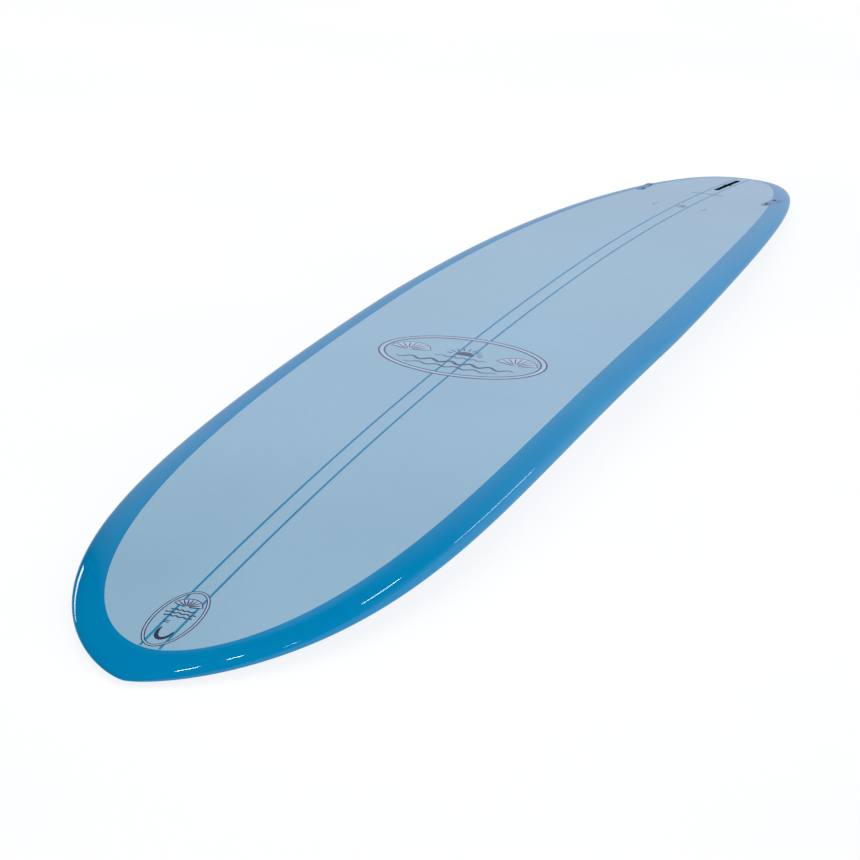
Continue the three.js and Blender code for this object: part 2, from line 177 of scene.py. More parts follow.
def surface_point(side, place, above):
    """A point above the bottom or deck at a place given by x and y in millimetres."""
    return Vector((place.x, place.y, height(side, place.x, place.y) + side * above)) * MM


print("rail's apex at mid length:", [round(value, 4) for value in rail_point(-0.5, 0)])

# %% [markdown]
# ## From a bmesh to a piece
#
# Every piece is made the same way at the end: its bmesh becomes a mesh, openings are cut out of
# it with Boolean modifiers whose result is kept, its edges are marked sharp where they turn more
# than a given angle, and it starts to ride on a body of the frame. The tools that cut are
# thrown away, so nothing stray stays in the scene.

# %% Pieces and cuts
def object_from(name, mesh):
    data = bpy.data.meshes.new(name)
    mesh.to_mesh(data)
    mesh.free()
    made = bpy.data.objects.new(name, data)
    scene.collection.objects.link(made)
    return made


def combine(piece, tool_mesh, operation):
    """Joins a closed bmesh to the piece, or cuts it away, and keeps the result as the piece's mesh."""
    tool = object_from("tool", tool_mesh)
    boolean = piece.modifiers.new(operation.lower(), "BOOLEAN")
    boolean.object, boolean.operation, boolean.solver = tool, operation, "EXACT"
    result = bpy.data.meshes.new_from_object(piece.evaluated_get(bpy.context.evaluated_depsgraph_get()))
    piece.modifiers.clear()
    worn, piece.data = piece.data, result
    for mesh in (worn, tool.data):
        bpy.data.meshes.remove(mesh)


def make_piece(name, mesh, material, body="board", replaces=(), joins=(), cuts=(), sharp=40):
    """Turns a closed bmesh into a named piece that rides on a body."""
    piece = object_from(name, mesh)
    for tool in joins:
        combine(piece, tool, "UNION")
    for tool in cuts:
        combine(piece, tool, "DIFFERENCE")
    piece.data.name = name
    piece.data.materials.clear()
    piece.data.materials.append(material)
    piece.data.shade_smooth()
    piece.data.set_sharp_from_angle(angle=math.radians(sharp))
    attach(piece, body)
    for node in replaces:
        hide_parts(node)
    print(f"{name}: {len(piece.data.polygons)} faces on {body}")
    return piece


# %% [markdown]
# ## Shader maths as plain expressions
#
# A node tree is easier to read as a sum than as a web of wires. This small class wraps a socket,
# so that an expression such as `1 - mask * 0.5` adds the Math nodes by itself. Any other
# node comes from one method that takes the node's type, its settings and its inputs.

# %% A socket that can be added and multiplied
class Socket:
    def __init__(self, tree, link):
        self.tree, self.link = tree, link

    def node(self, kind, settings=None, output=0, **inputs):
        """Adds a node and sets its settings, then fills its inputs, by name or as i0, i1 by number."""
        made = self.tree.nodes.new(kind)
        for name, value in (settings or {}).items():
            if name == "stops":
                for element, (place, colour) in zip(made.color_ramp.elements, value):
                    element.position, element.color = place, colour
            else:
                setattr(made, name, value)
        for name, value in inputs.items():
            key = int(name[1:]) if name[1:].isdigit() else name.replace("_", " ")
            if isinstance(value, Socket):
                self.tree.links.new(value.link, made.inputs[key])
            else:
                made.inputs[key].default_value = value
        return Socket(self.tree, made.outputs[output])

    def maths(self, operation, first, second=0.0):
        return self.node("ShaderNodeMath", {"operation": operation}, i0=first, i1=second)

    def __add__(self, other):
        return self.maths("ADD", self, other)

    def __radd__(self, other):
        return self.maths("ADD", other, self)

    def __sub__(self, other):
        return self.maths("SUBTRACT", self, other)

    def __rsub__(self, other):
        return self.maths("SUBTRACT", other, self)

    def __mul__(self, other):
        return self.maths("MULTIPLY", self, other)

    def __rmul__(self, other):
        return self.maths("MULTIPLY", other, self)

    def between(self, low, high):
        """0 at low, 1 at high, and straight between them."""
        return self.node("ShaderNodeMapRange", {"clamp": True}, Value=self, From_Min=low, From_Max=high)

    def mix(self, first, second):
        """Mixes two colours, with this socket as the factor."""
        return self.node("ShaderNodeMix", {"data_type": "RGBA"}, output=2, i0=self, i6=first, i7=second)

    def noise(self, scale, detail=2.0, **more):
        return self.node("ShaderNodeTexNoise", Vector=self, Scale=scale, Detail=detail, **more)

    def stretched(self, x, y, z):
        """The same place, with its pattern stretched along the board's axes."""
        return self.node("ShaderNodeMapping", Vector=self, Scale=(x, y, z))


def rgb(red, green, blue):
    """A colour from screen values of 0 to 255, as the linear numbers that a shader takes."""
    def linear(value):
        value /= 255
        return value / 12.92 if value <= 0.04045 else ((value + 0.055) / 1.055) ** 2.4

    return (linear(red), linear(green), linear(blue), 1.0)


def new_material(name, **constants):
    """A material whose shader has its fixed inputs set, its shader, and the place on the piece."""
    material = bpy.data.materials.new(name)
    material.use_nodes = True
    shader = material.node_tree.nodes["Principled BSDF"]
    for key, value in constants.items():
        shader.inputs[key.replace("_", " ")].default_value = value
    coordinates = material.node_tree.nodes.new("ShaderNodeTexCoord")
    return material, shader, Socket(material.node_tree, coordinates.outputs["Object"])


def feed(shader, **sockets):
    for key, socket in sockets.items():
        socket.tree.links.new(socket.link, shader.inputs[key.replace("_", " ")])


def bump(height, strength, distance):
    return height.node("ShaderNodeBump", Strength=strength, Distance=distance, Height=height)


print("shader helpers ready")

# %% [markdown]
# ## Tinted glass and resin
#
# The bottom, deck and rails are glass cloth in pigmented resin, sanded and then glossed. Pigment
# never lies quite evenly, so the colour has slow clouds and a fine mottle. Under the gloss the
# cloth's weave just shows as a faint check. The gloss coat is hard and sharp but not perfectly
# flat, which is what bends its reflections: a long, very low bump does that.

# %% Resin finishes
WEAVE_PER_METRE = 180.0


def tinted_glass(name, colour, deep):
    """Pigmented laminate under a gloss coat. colour is the tint where thin, and deep where it pools."""
    material, shader, place = new_material(
        name, IOR=1.5, Coat_Weight=1.0, Coat_Roughness=0.03, Coat_IOR=1.5, Specular_IOR_Level=0.0
    )
    clouds = place.noise(3.5, 3.0, Roughness=0.55)
    mottle = place.noise(90.0, 4.0, Roughness=0.6)
    warp = place.node("ShaderNodeTexWave", {"bands_direction": "X"}, 1, Vector=place, Scale=WEAVE_PER_METRE)
    weft = place.node("ShaderNodeTexWave", {"bands_direction": "Y"}, 1, Vector=place, Scale=WEAVE_PER_METRE)
    weave = warp * weft
    depth = clouds.between(0.3, 0.7) * 0.55 + mottle.between(0.3, 0.7) * 0.3 + weave * 0.15
    ripple = place.noise(14.0, 1.0)
    dust = place.noise(420.0)
    feed(
        shader,
        Base_Color=depth.mix(colour, deep),
        Roughness=place.noise(28.0, 2.0, Distortion=1.5).between(0.3, 0.7) * 0.08 + 0.3,
        Normal=bump(ripple * 0.9 + dust * 0.02 + weave * 0.01, 0.08, 0.002),
    )
    return material


PALE_GLASS = tinted_glass("pale tinted glass", rgb(146, 181, 204), rgb(139, 174, 198))
BLUE_GLASS = tinted_glass("deep blue tinted glass", rgb(2, 131, 183), rgb(0, 122, 175))
LINE_BLUE = tinted_glass("pinline blue", rgb(28, 130, 176), rgb(20, 121, 168))
print("made", PALE_GLASS.name, BLUE_GLASS.name, LINE_BLUE.name)

# %% [markdown]
# ## Fittings in their own frame
#
# A fin box or a plug is drawn upright, in millimetres, in a frame of its own whose +Z leaves the
# board. Its outline starts as a cube or a turned profile. One matrix then sets it into the
# surface. After a box is glassed in, its top is sanded level with the board, so the corners near
# the top also follow the surface's curve.

# %% Frames, blocks and turned shapes
SANDED_DEPTH = 5
CLEAR = 12
ROUND_STEPS = 56


def frame_at(side, x, y, toe_in=0.0):
    """A frame on the bottom or deck. +Z leaves the board, +X points to the nose, turned by toe_in."""
    def at(dx, dy):
        return Vector((x + dx, y + dy, height(side, x + dx, y + dy)))

    forward = (at(1, 0) - at(-1, 0)).normalized()
    across = (at(0, 1) - at(0, -1)).normalized()
    out = (forward.cross(across) * side).normalized()
    ahead = Matrix.Rotation(math.radians(toe_in), 3, out) @ forward
    turn = Matrix((ahead, out.cross(ahead), out)).transposed().to_4x4()
    return Matrix.Translation(at(0, 0) * MM) @ turn @ Matrix.Scale(MM, 4)


def block(length, width, bottom, top, round_ends=False, move=(0, 0)):
    """A bmesh block between two heights, with half-round ends if asked."""
    mesh = bmesh.new()
    bmesh.ops.create_cube(mesh, size=1)
    bmesh.ops.scale(mesh, vec=(length, width, top - bottom), verts=mesh.verts)
    if round_ends:
        upright = [e for e in mesh.edges if abs(e.verts[0].co.z - e.verts[1].co.z) > (top - bottom) / 2]
        bmesh.ops.bevel(
            mesh, geom=upright, offset=width / 2, segments=12, profile=0.5, affect="EDGES", material=-1
        )
        bmesh.ops.remove_doubles(mesh, verts=mesh.verts, dist=0.01)
    bmesh.ops.translate(mesh, vec=(*move, (top + bottom) / 2), verts=mesh.verts)
    return mesh


def turned(profile, move=(0, 0), steps=ROUND_STEPS):
    """Spins radius and height pairs round the frame's Z axis into a closed bmesh."""
    mesh = bmesh.new()
    points = [mesh.verts.new((radius, 0, z)) for radius, z in profile]
    edges = [mesh.edges.new(pair) for pair in zip(points, points[1:])]
    upright = {"axis": (0, 0, 1), "cent": (0, 0, 0), "angle": math.tau}
    bmesh.ops.spin(mesh, geom=points + edges, steps=steps, use_merge=True, **upright)
    bmesh.ops.remove_doubles(mesh, verts=mesh.verts, dist=1e-4)
    bmesh.ops.recalc_face_normals(mesh, faces=mesh.faces)
    bmesh.ops.translate(mesh, vec=(*move, 0), verts=mesh.verts)
    return mesh


def post(radius, bottom, top):
    """The profile of a plain round post, to be turned."""
    return [(0, bottom), (radius, bottom), (radius, top), (0, top)]


def soften(mesh, size, angle=50):
    """Rounds every edge that turns by more than an angle."""
    hard = [edge for edge in mesh.edges if edge.calc_face_angle(0) > math.radians(angle)]
    bmesh.ops.bevel(
        mesh, geom=hard, offset=size, segments=3, profile=0.5,
        affect="EDGES", material=-1, clamp_overlap=True,
    )
    return mesh


def set_in(mesh, place, side=None):
    """Moves a fitting from its own frame to the board. With a side, its top is sanded to the surface."""
    for vertex in mesh.verts:
        local = vertex.co.copy()
        vertex.co = place @ local
        if side and local.z > -SANDED_DEPTH:
            plane = place @ Vector((local.x, local.y, 0)) / MM
            vertex.co.z += (height(side, plane.x, plane.y) - side * FLUSH - plane.z) * MM
    return mesh


def threaded(radius, pitch, bottom, top):
    """Profile points of a thread drawn as close rings, from the bottom up."""
    rings = int((top - bottom) / pitch)
    points = []
    for ring in range(rings):
        start = bottom + ring * pitch
        points += [(radius - pitch * 0.3, start), (radius, start + pitch / 2)]
    return points + [(radius - pitch * 0.3, bottom + rings * pitch)]


print("fitting helpers ready")

# %% [markdown]
# ## Where the fittings go
#
# The centre fin box lies on the centre line near the tail. Two side boxes stand near the rails,
# toed in a little. The leash plug and the vent plug are in the deck, beside the stringer. These
# are the frame's own sizes, so each opening in the laminate meets the fitting below it.

# %% Fitting sizes
FIN_BOX = {"length": 216, "width": 24, "depth": 24, "middle": -1264, "rim": 1.2, "foot": -4}
FIN_SLOT = {"length": 192, "width": 9.6, "depth": 22}
NUT_TRACK = {"length": 188, "width": 14.6, "top": -9.8, "bottom": -14}
NUT_NOTCH = {"length": 14, "width": 15.2}
NUT = {"length": 12, "width": 13.6, "top": -10.3, "bottom": -13.5, "middle": -68}
SIDE_BOX = {"length": 116, "width": 20, "depth": 15, "x": -1104, "y": 148, "toe_in": 2}
TAB_SLOT = {"length": 25, "width": 6.4, "depth": 12.5, "along": 30, "across": -2.5}
GRUB = {"radius": 2.45, "top": -1, "bottom": -8, "across": 5.4, "along": 30}
HEX_KEY = {"radius": 1.45, "depth": 3}
FIN_SCREW = {"radius": 2, "pitch": 0.9, "tip": -19, "head": 3.9, "seat": -6, "top": -3.4}
LEASH = {"x": -1282, "y": 52, "radius": 14.5, "hollow": 11, "depth": 19, "floor": 3}
VENT = {"x": 930, "y": 55, "radius": 11, "bore": 4.3, "recess": 6.8, "recess_depth": 4.9, "depth": 18}

fin_frame = frame_at(BOTTOM, FIN_BOX["middle"], 0)
leash_frame = frame_at(DECK, LEASH["x"], LEASH["y"])
vent_frame = frame_at(DECK, VENT["x"], VENT["y"])


def side_frame(hand):
    return frame_at(BOTTOM, SIDE_BOX["x"], hand * SIDE_BOX["y"], -hand * SIDE_BOX["toe_in"])


def rim_blocks(grow, bottom, top):
    """The fin box's rim: a long oval, wider at the notch where the nut goes in."""
    extra = 2 * (FIN_BOX["rim"] + grow)
    return [
        block(FIN_SLOT["length"] + extra, FIN_SLOT["width"] + extra, bottom, top, True),
        block(NUT_NOTCH["length"] + extra, NUT_NOTCH["width"] + extra, bottom, top),
    ]


def side_opening(hand):
    length, width = SIDE_BOX["length"] + 2 * GAP, SIDE_BOX["width"] + 2 * GAP
    return set_in(block(length, width, -SIDE_BOX["depth"], CLEAR, True), side_frame(hand))


print("fin box at", [round(value, 3) for value in fin_frame.translation])

# %% [markdown]
# ## Smooth skins
#
# The blank is wrapped in three laminates: the pale bottom, the deep blue wrap over the rails and
# the pale deck. Each starts as a flat bmesh grid whose corners run from -1 to 1. Every vertex is
# then moved to its place on the board, as a cloth is laid over a mould. A panel's rows shrink to
# a point at nose and tail, so doubles are merged before the laminate gets its thickness.

# %% Lay the laminates
PANEL_CELLS, RAIL_CELLS = (320, 40), (720, 32)


def laid_grid(columns, rows, place_of):
    """A bmesh grid whose vertices are moved by place_of(x, y), both from -1 to 1."""
    mesh = bmesh.new()
    bmesh.ops.create_grid(mesh, x_segments=columns, y_segments=rows, size=1)
    for vertex in mesh.verts:
        vertex.co = place_of(vertex.co.x, vertex.co.y)
    bmesh.ops.remove_doubles(mesh, verts=mesh.verts, dist=1e-6)
    bmesh.ops.recalc_face_normals(mesh, faces=mesh.faces)
    return mesh


def thicken(mesh, outermost, outwards):
    """Turns the sheet so that its outermost face looks outwards, then gives it its thickness inwards."""
    if max(mesh.faces, key=outermost).normal.dot(outwards) < 0:
        bmesh.ops.reverse_faces(mesh, faces=mesh.faces)
    bmesh.ops.solidify(mesh, geom=mesh.faces[:], thickness=SKIN * MM)
    return mesh


def panel(side):
    sheet = laid_grid(*PANEL_CELLS, lambda along, across: panel_point(side, along, across))
    return thicken(sheet, lambda face: face.calc_area(), Vector((0, 0, side)))


rail_sheet = laid_grid(*RAIL_CELLS, rail_point)
rail_shell = thicken(rail_sheet, lambda face: face.calc_center_median().y, Vector((0, 1, 0)))
leash_hole = set_in(turned(post(LEASH["radius"] + GAP, -LEASH["depth"], CLEAR)), leash_frame)
vent_hole = set_in(turned(post(VENT["radius"] + GAP, -VENT["depth"], CLEAR)), vent_frame)
rim_holes = [set_in(tool, fin_frame) for tool in rim_blocks(GAP, FIN_BOX["foot"], CLEAR)]

make_piece("bottom_laminate", panel(BOTTOM), PALE_GLASS, replaces=["bottom_skin"],
           cuts=[*rim_holes, side_opening(1), side_opening(-1)])
make_piece("deck_laminate", panel(DECK), PALE_GLASS, replaces=["deck_skin"],
           cuts=[leash_hole, vent_hole])
make_piece("rail_laminate", rail_shell, BLUE_GLASS, replaces=["rail_skin"],
           cuts=[side_opening(1), side_opening(-1)])

# %% [markdown]
# ## Lines and printed marks
#
# The pinlines are taped off and painted, and the marks are ink on thin rice paper under the
# gloss. They could be painted in a texture, but a thin line on a board three metres long would
# blur. So each line is a real strip, a tenth of a millimetre thick, which follows a curve
# over the surface: a grid one cell wide is bent along the curve and then solidified.

# %% Strips that follow a curve
INK = 0.1
LAYER = {"line": 0.12, "paper": 0.18, "ink": 0.24}
STEP = 1e-3


def lay_strip(mesh, path, width, above, side=BOTTOM, cells=120):
    """Adds a strip along path(t) for t from 0 to 1. width is in millimetres, or a function of t."""
    width_at = width if callable(width) else lambda t: width
    strip = bmesh.ops.create_grid(mesh, x_segments=cells, y_segments=1, size=1)["verts"]
    for vertex in strip:
        t = (vertex.co.x + 1) / 2
        ahead = (path(t + STEP) - path(t - STEP)).normalized()
        place = path(t) + Vector((-ahead.y, ahead.x)) * vertex.co.y * width_at(t) / 2
        vertex.co = surface_point(side, place, above)
    faces = list({face for vertex in strip for face in vertex.link_faces})
    bmesh.ops.recalc_face_normals(mesh, faces=faces)
    if sum(face.normal.z for face in faces) * side < 0:
        bmesh.ops.reverse_faces(mesh, faces=faces)


def make_print(name, mesh, material):
    """Closes loops of strip and gives the print its thickness."""
    bmesh.ops.remove_doubles(mesh, verts=mesh.verts, dist=1e-7)
    bmesh.ops.solidify(mesh, geom=mesh.faces[:], thickness=INK * MM)
    return make_piece(name, mesh, material)


def straight(x0, y0, x1, y1):
    start, end = Vector((x0, y0)), Vector((x1, y1))
    return lambda t: start.lerp(end, t) if 0 <= t <= 1 else start + (end - start) * t


def ellipse(x, y, along, across, start=0.0, sweep=math.tau):
    def path(t):
        angle = start + sweep * t
        return Vector((x + along * math.cos(angle), y + across * math.sin(angle)))

    return path


def wave(x, y, length, height_, crests):
    """A wavy line across the board, its length along y."""
    return lambda t: Vector((x + height_ * math.sin(math.tau * crests * t), y + length * (t - 0.5)))


# %% [markdown]
# ## Pinlines
#
# Two lines run the whole length of the bottom, a little to each side of the stringer, and stop
# just short of the rail's lap at nose and tail. The deck has the same pair.

# %% Paint the pinlines
PINLINE = {"from_centre": 14.6, "width": 3.8, "nose": 1380, "tail": -1398}
for side, name in ((BOTTOM, "bottom_pinlines"), (DECK, "deck_pinlines")):
    lines = bmesh.new()
    for hand in (1, -1):
        y = hand * PINLINE["from_centre"]
        inset = 0 if side == BOTTOM else DECK_LAP - RAIL_BAND
        run = straight(PINLINE["tail"] + inset, y, PINLINE["nose"] - inset, y)
        lay_strip(lines, run, PINLINE["width"], LAYER["line"], side, 400)
    make_print(name, lines, LINE_BLUE)

# %% [markdown]
# ## The large oval
#
# The badge in the middle of the bottom is printed on paper that goes clear under resin. Two thin
# navy rings hold a lavender border. Inside it this board carries a plain pattern of its own:
# a low sun over swells, with a scallop shell on each side. The shells are lavender fans with
# navy ribs. The paper lies over the pinlines and the ink over the paper.

# %% Paper and ink
INK_NAVY, ink_shader, ink_place = new_material(
    "navy ink under gloss", Coat_Weight=1.0, Coat_Roughness=0.03, Specular_IOR_Level=0.2
)
feed(
    ink_shader,
    Base_Color=ink_place.noise(600.0, 3.0).between(0.35, 0.75).mix(rgb(20, 38, 62), rgb(36, 60, 88)),
    Roughness=ink_place.noise(90.0).between(0.3, 0.7) * 0.1 + 0.3,
)
PAPER, paper_shader, paper_place = new_material(
    "lavender rice paper under gloss", Coat_Weight=1.0, Coat_Roughness=0.03, Specular_IOR_Level=0.2
)
fibres = paper_place.stretched(1.0, 0.2, 1.0).noise(1500.0, 4.0)
feed(
    paper_shader,
    Base_Color=fibres.between(0.3, 0.7).mix(rgb(172, 192, 218), rgb(160, 182, 210)),
    Roughness=paper_place.noise(90.0).between(0.3, 0.7) * 0.1 + 0.3,
)
print("made", INK_NAVY.name, "and", PAPER.name)


# %% Shapes of the marks
def taper(width):
    """A width that swells in the middle of a stroke and fades at its ends."""
    return lambda t: width * (0.12 + 0.88 * math.sin(math.pi * min(max(t, 0), 1)) ** 0.6)


def lay_oval_border(paper, ink, x, y, along, across, border, line):
    """Two ink rings with a paper border between them."""
    middle = ellipse(x, y, along - border / 2, across - border / 2)
    lay_strip(paper, middle, border, LAYER["paper"], cells=180)
    for inset in (0, border):
        lay_strip(ink, ellipse(x, y, along - inset, across - inset), line, LAYER["ink"], cells=180)


def lay_shell(paper, ink, x, y, radius, ribs):
    """A scallop shell: a paper fan that opens towards the tail, with ink ribs and a smooth ink arc along
    its edge.
    """
    fan, rim_line, rib_line = math.radians(75), 1.6, 2.2
    spread = (math.pi - fan, 2 * fan)
    lay_strip(paper, ellipse(x, y, radius / 2, radius / 2, *spread), radius, LAYER["paper"], cells=40)
    lay_strip(ink, ellipse(x, y, radius, radius, *spread), rim_line, LAYER["ink"], cells=60)
    for rib in range(ribs):
        angle = math.pi - fan + 2 * fan * rib / (ribs - 1)
        tip = Vector((math.cos(angle), math.sin(angle)))
        start, end = Vector((x, y)) + tip * radius * 0.14, Vector((x, y)) + tip * radius * 0.97
        lay_strip(ink, straight(*start, *end), taper(rib_line), LAYER["ink"], cells=12)


def lay_sun(ink, x, y, radius, rays):
    """Half a sun on a horizon, with rays towards the tail."""
    half_turn = (math.pi / 2, math.pi)
    lay_strip(ink, ellipse(x, y, radius / 2, radius / 2, *half_turn), radius, LAYER["ink"], cells=32)
    for ray in range(rays):
        angle = math.pi / 2 + math.pi * (ray + 0.5) / rays
        tip = Vector((math.cos(angle), math.sin(angle)))
        start, end = Vector((x, y)) + tip * radius * 1.3, Vector((x, y)) + tip * radius * 2.0
        lay_strip(ink, straight(*start, *end), taper(2.4), LAYER["ink"], cells=8)


# %% Print the large oval
OVAL = {"x": 330, "y": 0, "along": 93, "across": 150, "border": 9.5, "line": 2.8}
paper, ink = bmesh.new(), bmesh.new()
lay_oval_border(paper, ink, *OVAL.values())
lay_sun(ink, OVAL["x"] - 6, OVAL["y"], radius=17, rays=9)
for hand in (1, -1):
    lay_shell(paper, ink, OVAL["x"] + 4, OVAL["y"] + hand * 98, radius=38, ribs=9)
# Each swell: its place along the oval, length, height, number of crests and weight of line.
SWELLS = ((8, 96, 2.2, 5, 2.4), (34, 214, 5.0, 6, 5.5), (54, 170, 3.6, 5, 3.6))
for offset, length, amplitude, crests, weight in SWELLS:
    swell = wave(OVAL["x"] + offset, OVAL["y"], length, amplitude, crests)
    lay_strip(ink, swell, taper(weight), LAYER["ink"], cells=160)
make_print("large_oval_paper", paper, PAPER)
make_print("large_oval_ink", ink, INK_NAVY)

# %% [markdown]
# ## The small marks
#
# A smaller oval lies over the pinlines at the nose, and a few small marks lie ahead of the fin
# box. They repeat the shell and the waves at a smaller size, with plain bars and no lettering.

# %% Print the nose oval and the tail marks
NOSE_OVAL = {"x": 1306, "y": -2, "along": 71, "across": 34, "border": 4, "line": 1.5}
paper, ink = bmesh.new(), bmesh.new()
lay_oval_border(paper, ink, *NOSE_OVAL.values())
lay_shell(paper, ink, NOSE_OVAL["x"] - 28, NOSE_OVAL["y"], radius=22, ribs=9)
for row, length in enumerate((36, 46, 42)):
    ripple = wave(NOSE_OVAL["x"] - 20 + row * 8, NOSE_OVAL["y"], length, 1.2, 4)
    lay_strip(ink, ripple, 2.2, LAYER["ink"], cells=48)
crest_sweep = (math.radians(-110), math.radians(200))
crest = ellipse(NOSE_OVAL["x"] + 31, NOSE_OVAL["y"] + 3, 20, 11, *crest_sweep)
lay_strip(ink, crest, taper(6.5), LAYER["ink"], cells=48)
for offset in (9, 13):
    x, y = NOSE_OVAL["x"] + offset, NOSE_OVAL["y"]
    lay_strip(ink, straight(x, y - 14, x, y - 4), 1.2, LAYER["ink"], cells=4)
make_print("nose_oval_paper", paper, PAPER)
make_print("nose_oval_ink", ink, INK_NAVY)

ink = bmesh.new()
ARC = {"x": -902, "y": -4, "along": 34, "across": 58, "half_sweep": 0.42}
for hand in (1, -1):
    start = hand * math.pi / 2 - ARC["half_sweep"]
    arc = ellipse(ARC["x"], ARC["y"], ARC["along"], ARC["across"], start, 2 * ARC["half_sweep"])
    lay_strip(ink, arc, taper(2.0), LAYER["ink"], cells=24)
lay_sun(ink, -912, 0, radius=5, rays=5)
for x, length in ((-905, 24), (-899, 16)):
    lay_strip(ink, wave(x, 0, length, 1.2, 3), 1.4, LAYER["ink"], cells=36)
BARS = {"count": 9, "apart": 8, "x": -1098, "second_x": -1106}
for number in range(BARS["count"]):
    y = (number - (BARS["count"] - 1) / 2) * BARS["apart"]
    lay_strip(ink, straight(BARS["x"], y - 3, BARS["x"], y + 3), 1.8, LAYER["ink"], cells=4)
    lay_strip(ink, straight(BARS["second_x"], y - 2, BARS["second_x"], y + 2), 1.3, LAYER["ink"], cells=4)
make_print("tail_marks_ink", ink, INK_NAVY)

# %% [markdown]
# ## Moulded and metal finishes
#
# The boxes and plugs are moulded nylon: a fine even grain, with soft flow marks from the mould.
# Metal parts are small and handled, so their roughness varies more than their colour. Brushed
# lines come from a noise that is stretched along one axis.

# %% Plastic, metal and rubber
def moulded(name, colour, worn, rough):
    material, shader, place = new_material(name, Specular_IOR_Level=0.5)
    flow = place.stretched(1.0, 4.0, 1.0).noise(60.0, 3.0)
    grain = place.noise(3000.0, 2.0)
    feed(
        shader,
        Base_Color=flow.between(0.35, 0.75).mix(colour, worn),
        Roughness=flow.between(0.3, 0.7) * 0.12 + rough,
        Normal=bump(grain, 0.25, 0.0001),
    )
    return material


def metal(name, colour, tarnish, rough, brush):
    material, shader, place = new_material(name)
    lines = place.stretched(*brush).noise(900.0, 3.0)
    age = place.noise(240.0, 3.0)
    feed(
        shader,
        Base_Color=age.between(0.45, 0.75).mix(colour, tarnish),
        Metallic=1.0 - age.between(0.6, 0.9) * 0.15,
        Roughness=lines.between(0.3, 0.7) * 0.14 + rough,
        Normal=bump(lines, 0.3, 0.00005),
    )
    return material


BLACK_PLASTIC = moulded("black moulded nylon", rgb(14, 19, 28), rgb(26, 32, 42), 0.36)
PALE_PLASTIC = moulded("pale moulded nylon", rgb(112, 148, 184), rgb(100, 138, 176), 0.36)
STEEL = metal("stainless steel", rgb(188, 191, 196), rgb(158, 160, 165), 0.2, (1, 12, 1))
BRASS = metal("plain brass", rgb(206, 172, 96), rgb(160, 124, 66), 0.26, (12, 1, 1))
RUBBER, rubber_shader, rubber_place = new_material("black rubber", Specular_IOR_Level=0.35)
bloom = rubber_place.noise(700.0, 3.0)
feed(
    rubber_shader,
    Base_Color=bloom.between(0.4, 0.8).mix(rgb(24, 24, 25), rgb(40, 40, 42)),
    Roughness=bloom.between(0.3, 0.7) * 0.15 + 0.62,
)
print("made plastics, metals and rubber")

# %% [markdown]
# ## The centre fin box
#
# The fin slides into a long slot. Near the bottom of the slot a wider track holds a brass plate,
# and the notch in the middle lets that plate in. A screw through the fin's base pulls up on it.
# The box is a block with round ends, joined to its rim, and the slot, track and notch are cut.

# %% Fin box, nut and screw
long_box = block(FIN_BOX["length"], FIN_BOX["width"], -FIN_BOX["depth"], -SKIN - 0.6, True)
slot_cut = block(FIN_SLOT["length"], FIN_SLOT["width"], -FIN_SLOT["depth"], CLEAR, True)
track_cut = block(NUT_TRACK["length"], NUT_TRACK["width"], NUT_TRACK["bottom"], NUT_TRACK["top"])
notch_cut = block(NUT_NOTCH["length"], NUT_NOTCH["width"], NUT_TRACK["bottom"], CLEAR)
fin_box = object_from("raw_box", long_box)
for rim in rim_blocks(0, FIN_BOX["foot"], 0):
    combine(fin_box, rim, "UNION")
for tool in (slot_cut, track_cut, notch_cut):
    combine(fin_box, tool, "DIFFERENCE")
shaped = bmesh.new()
shaped.from_mesh(fin_box.data)
bpy.data.objects.remove(fin_box)
CUT_EVERY = 12
for x in range(-FIN_BOX["length"] // 2 + CUT_EVERY, FIN_BOX["length"] // 2, CUT_EVERY):
    everything = shaped.verts[:] + shaped.edges[:] + shaped.faces[:]
    bmesh.ops.bisect_plane(shaped, geom=everything, dist=1e-4, plane_co=(x, 0, 0), plane_no=(1, 0, 0))
make_piece("fin_box", set_in(shaped, fin_frame, BOTTOM), BLACK_PLASTIC, replaces=["center_fin_box"],
           sharp=30)

screw_place = (NUT["middle"], 0)
plate = block(NUT["length"], NUT["width"], NUT["bottom"], NUT["top"], move=screw_place)
soften(plate, 0.35)
hole = turned(post(FIN_SCREW["radius"] + GAP, -FIN_BOX["depth"], 0), screw_place)
make_piece("fin_nut", set_in(plate, fin_frame), BRASS, "nut", ["fin_nut_plate"],
           cuts=[set_in(hole, fin_frame)])

radius, head, seat, top, tip = (FIN_SCREW[key] for key in ("radius", "head", "seat", "top", "tip"))
thread = threaded(radius, FIN_SCREW["pitch"], tip, seat - 0.4)
pan_head = [(radius, seat), (head, seat), (head, top - 1.2), (head - 0.3, top - 0.5), (head - 1, top - 0.1)]
screw = turned([(0, tip), *thread, *pan_head, (0, top)], screw_place)
drive = block(3 * head, 1.1, top - 1.3, 0, move=screw_place)
make_piece("fin_screw_turned", set_in(screw, fin_frame), STEEL, "fin_screw", ["fin_screw"],
           cuts=[set_in(drive, fin_frame)], sharp=35)

# %% [markdown]
# ## The side fin boxes
#
# Each side box takes a fin with two tabs. A tab drops into its slot, and a grub screw beside it
# is turned down with a hex key to clamp it. The two boxes are mirror images, so one function
# makes both, with hand as 1 on the right and -1 on the left.

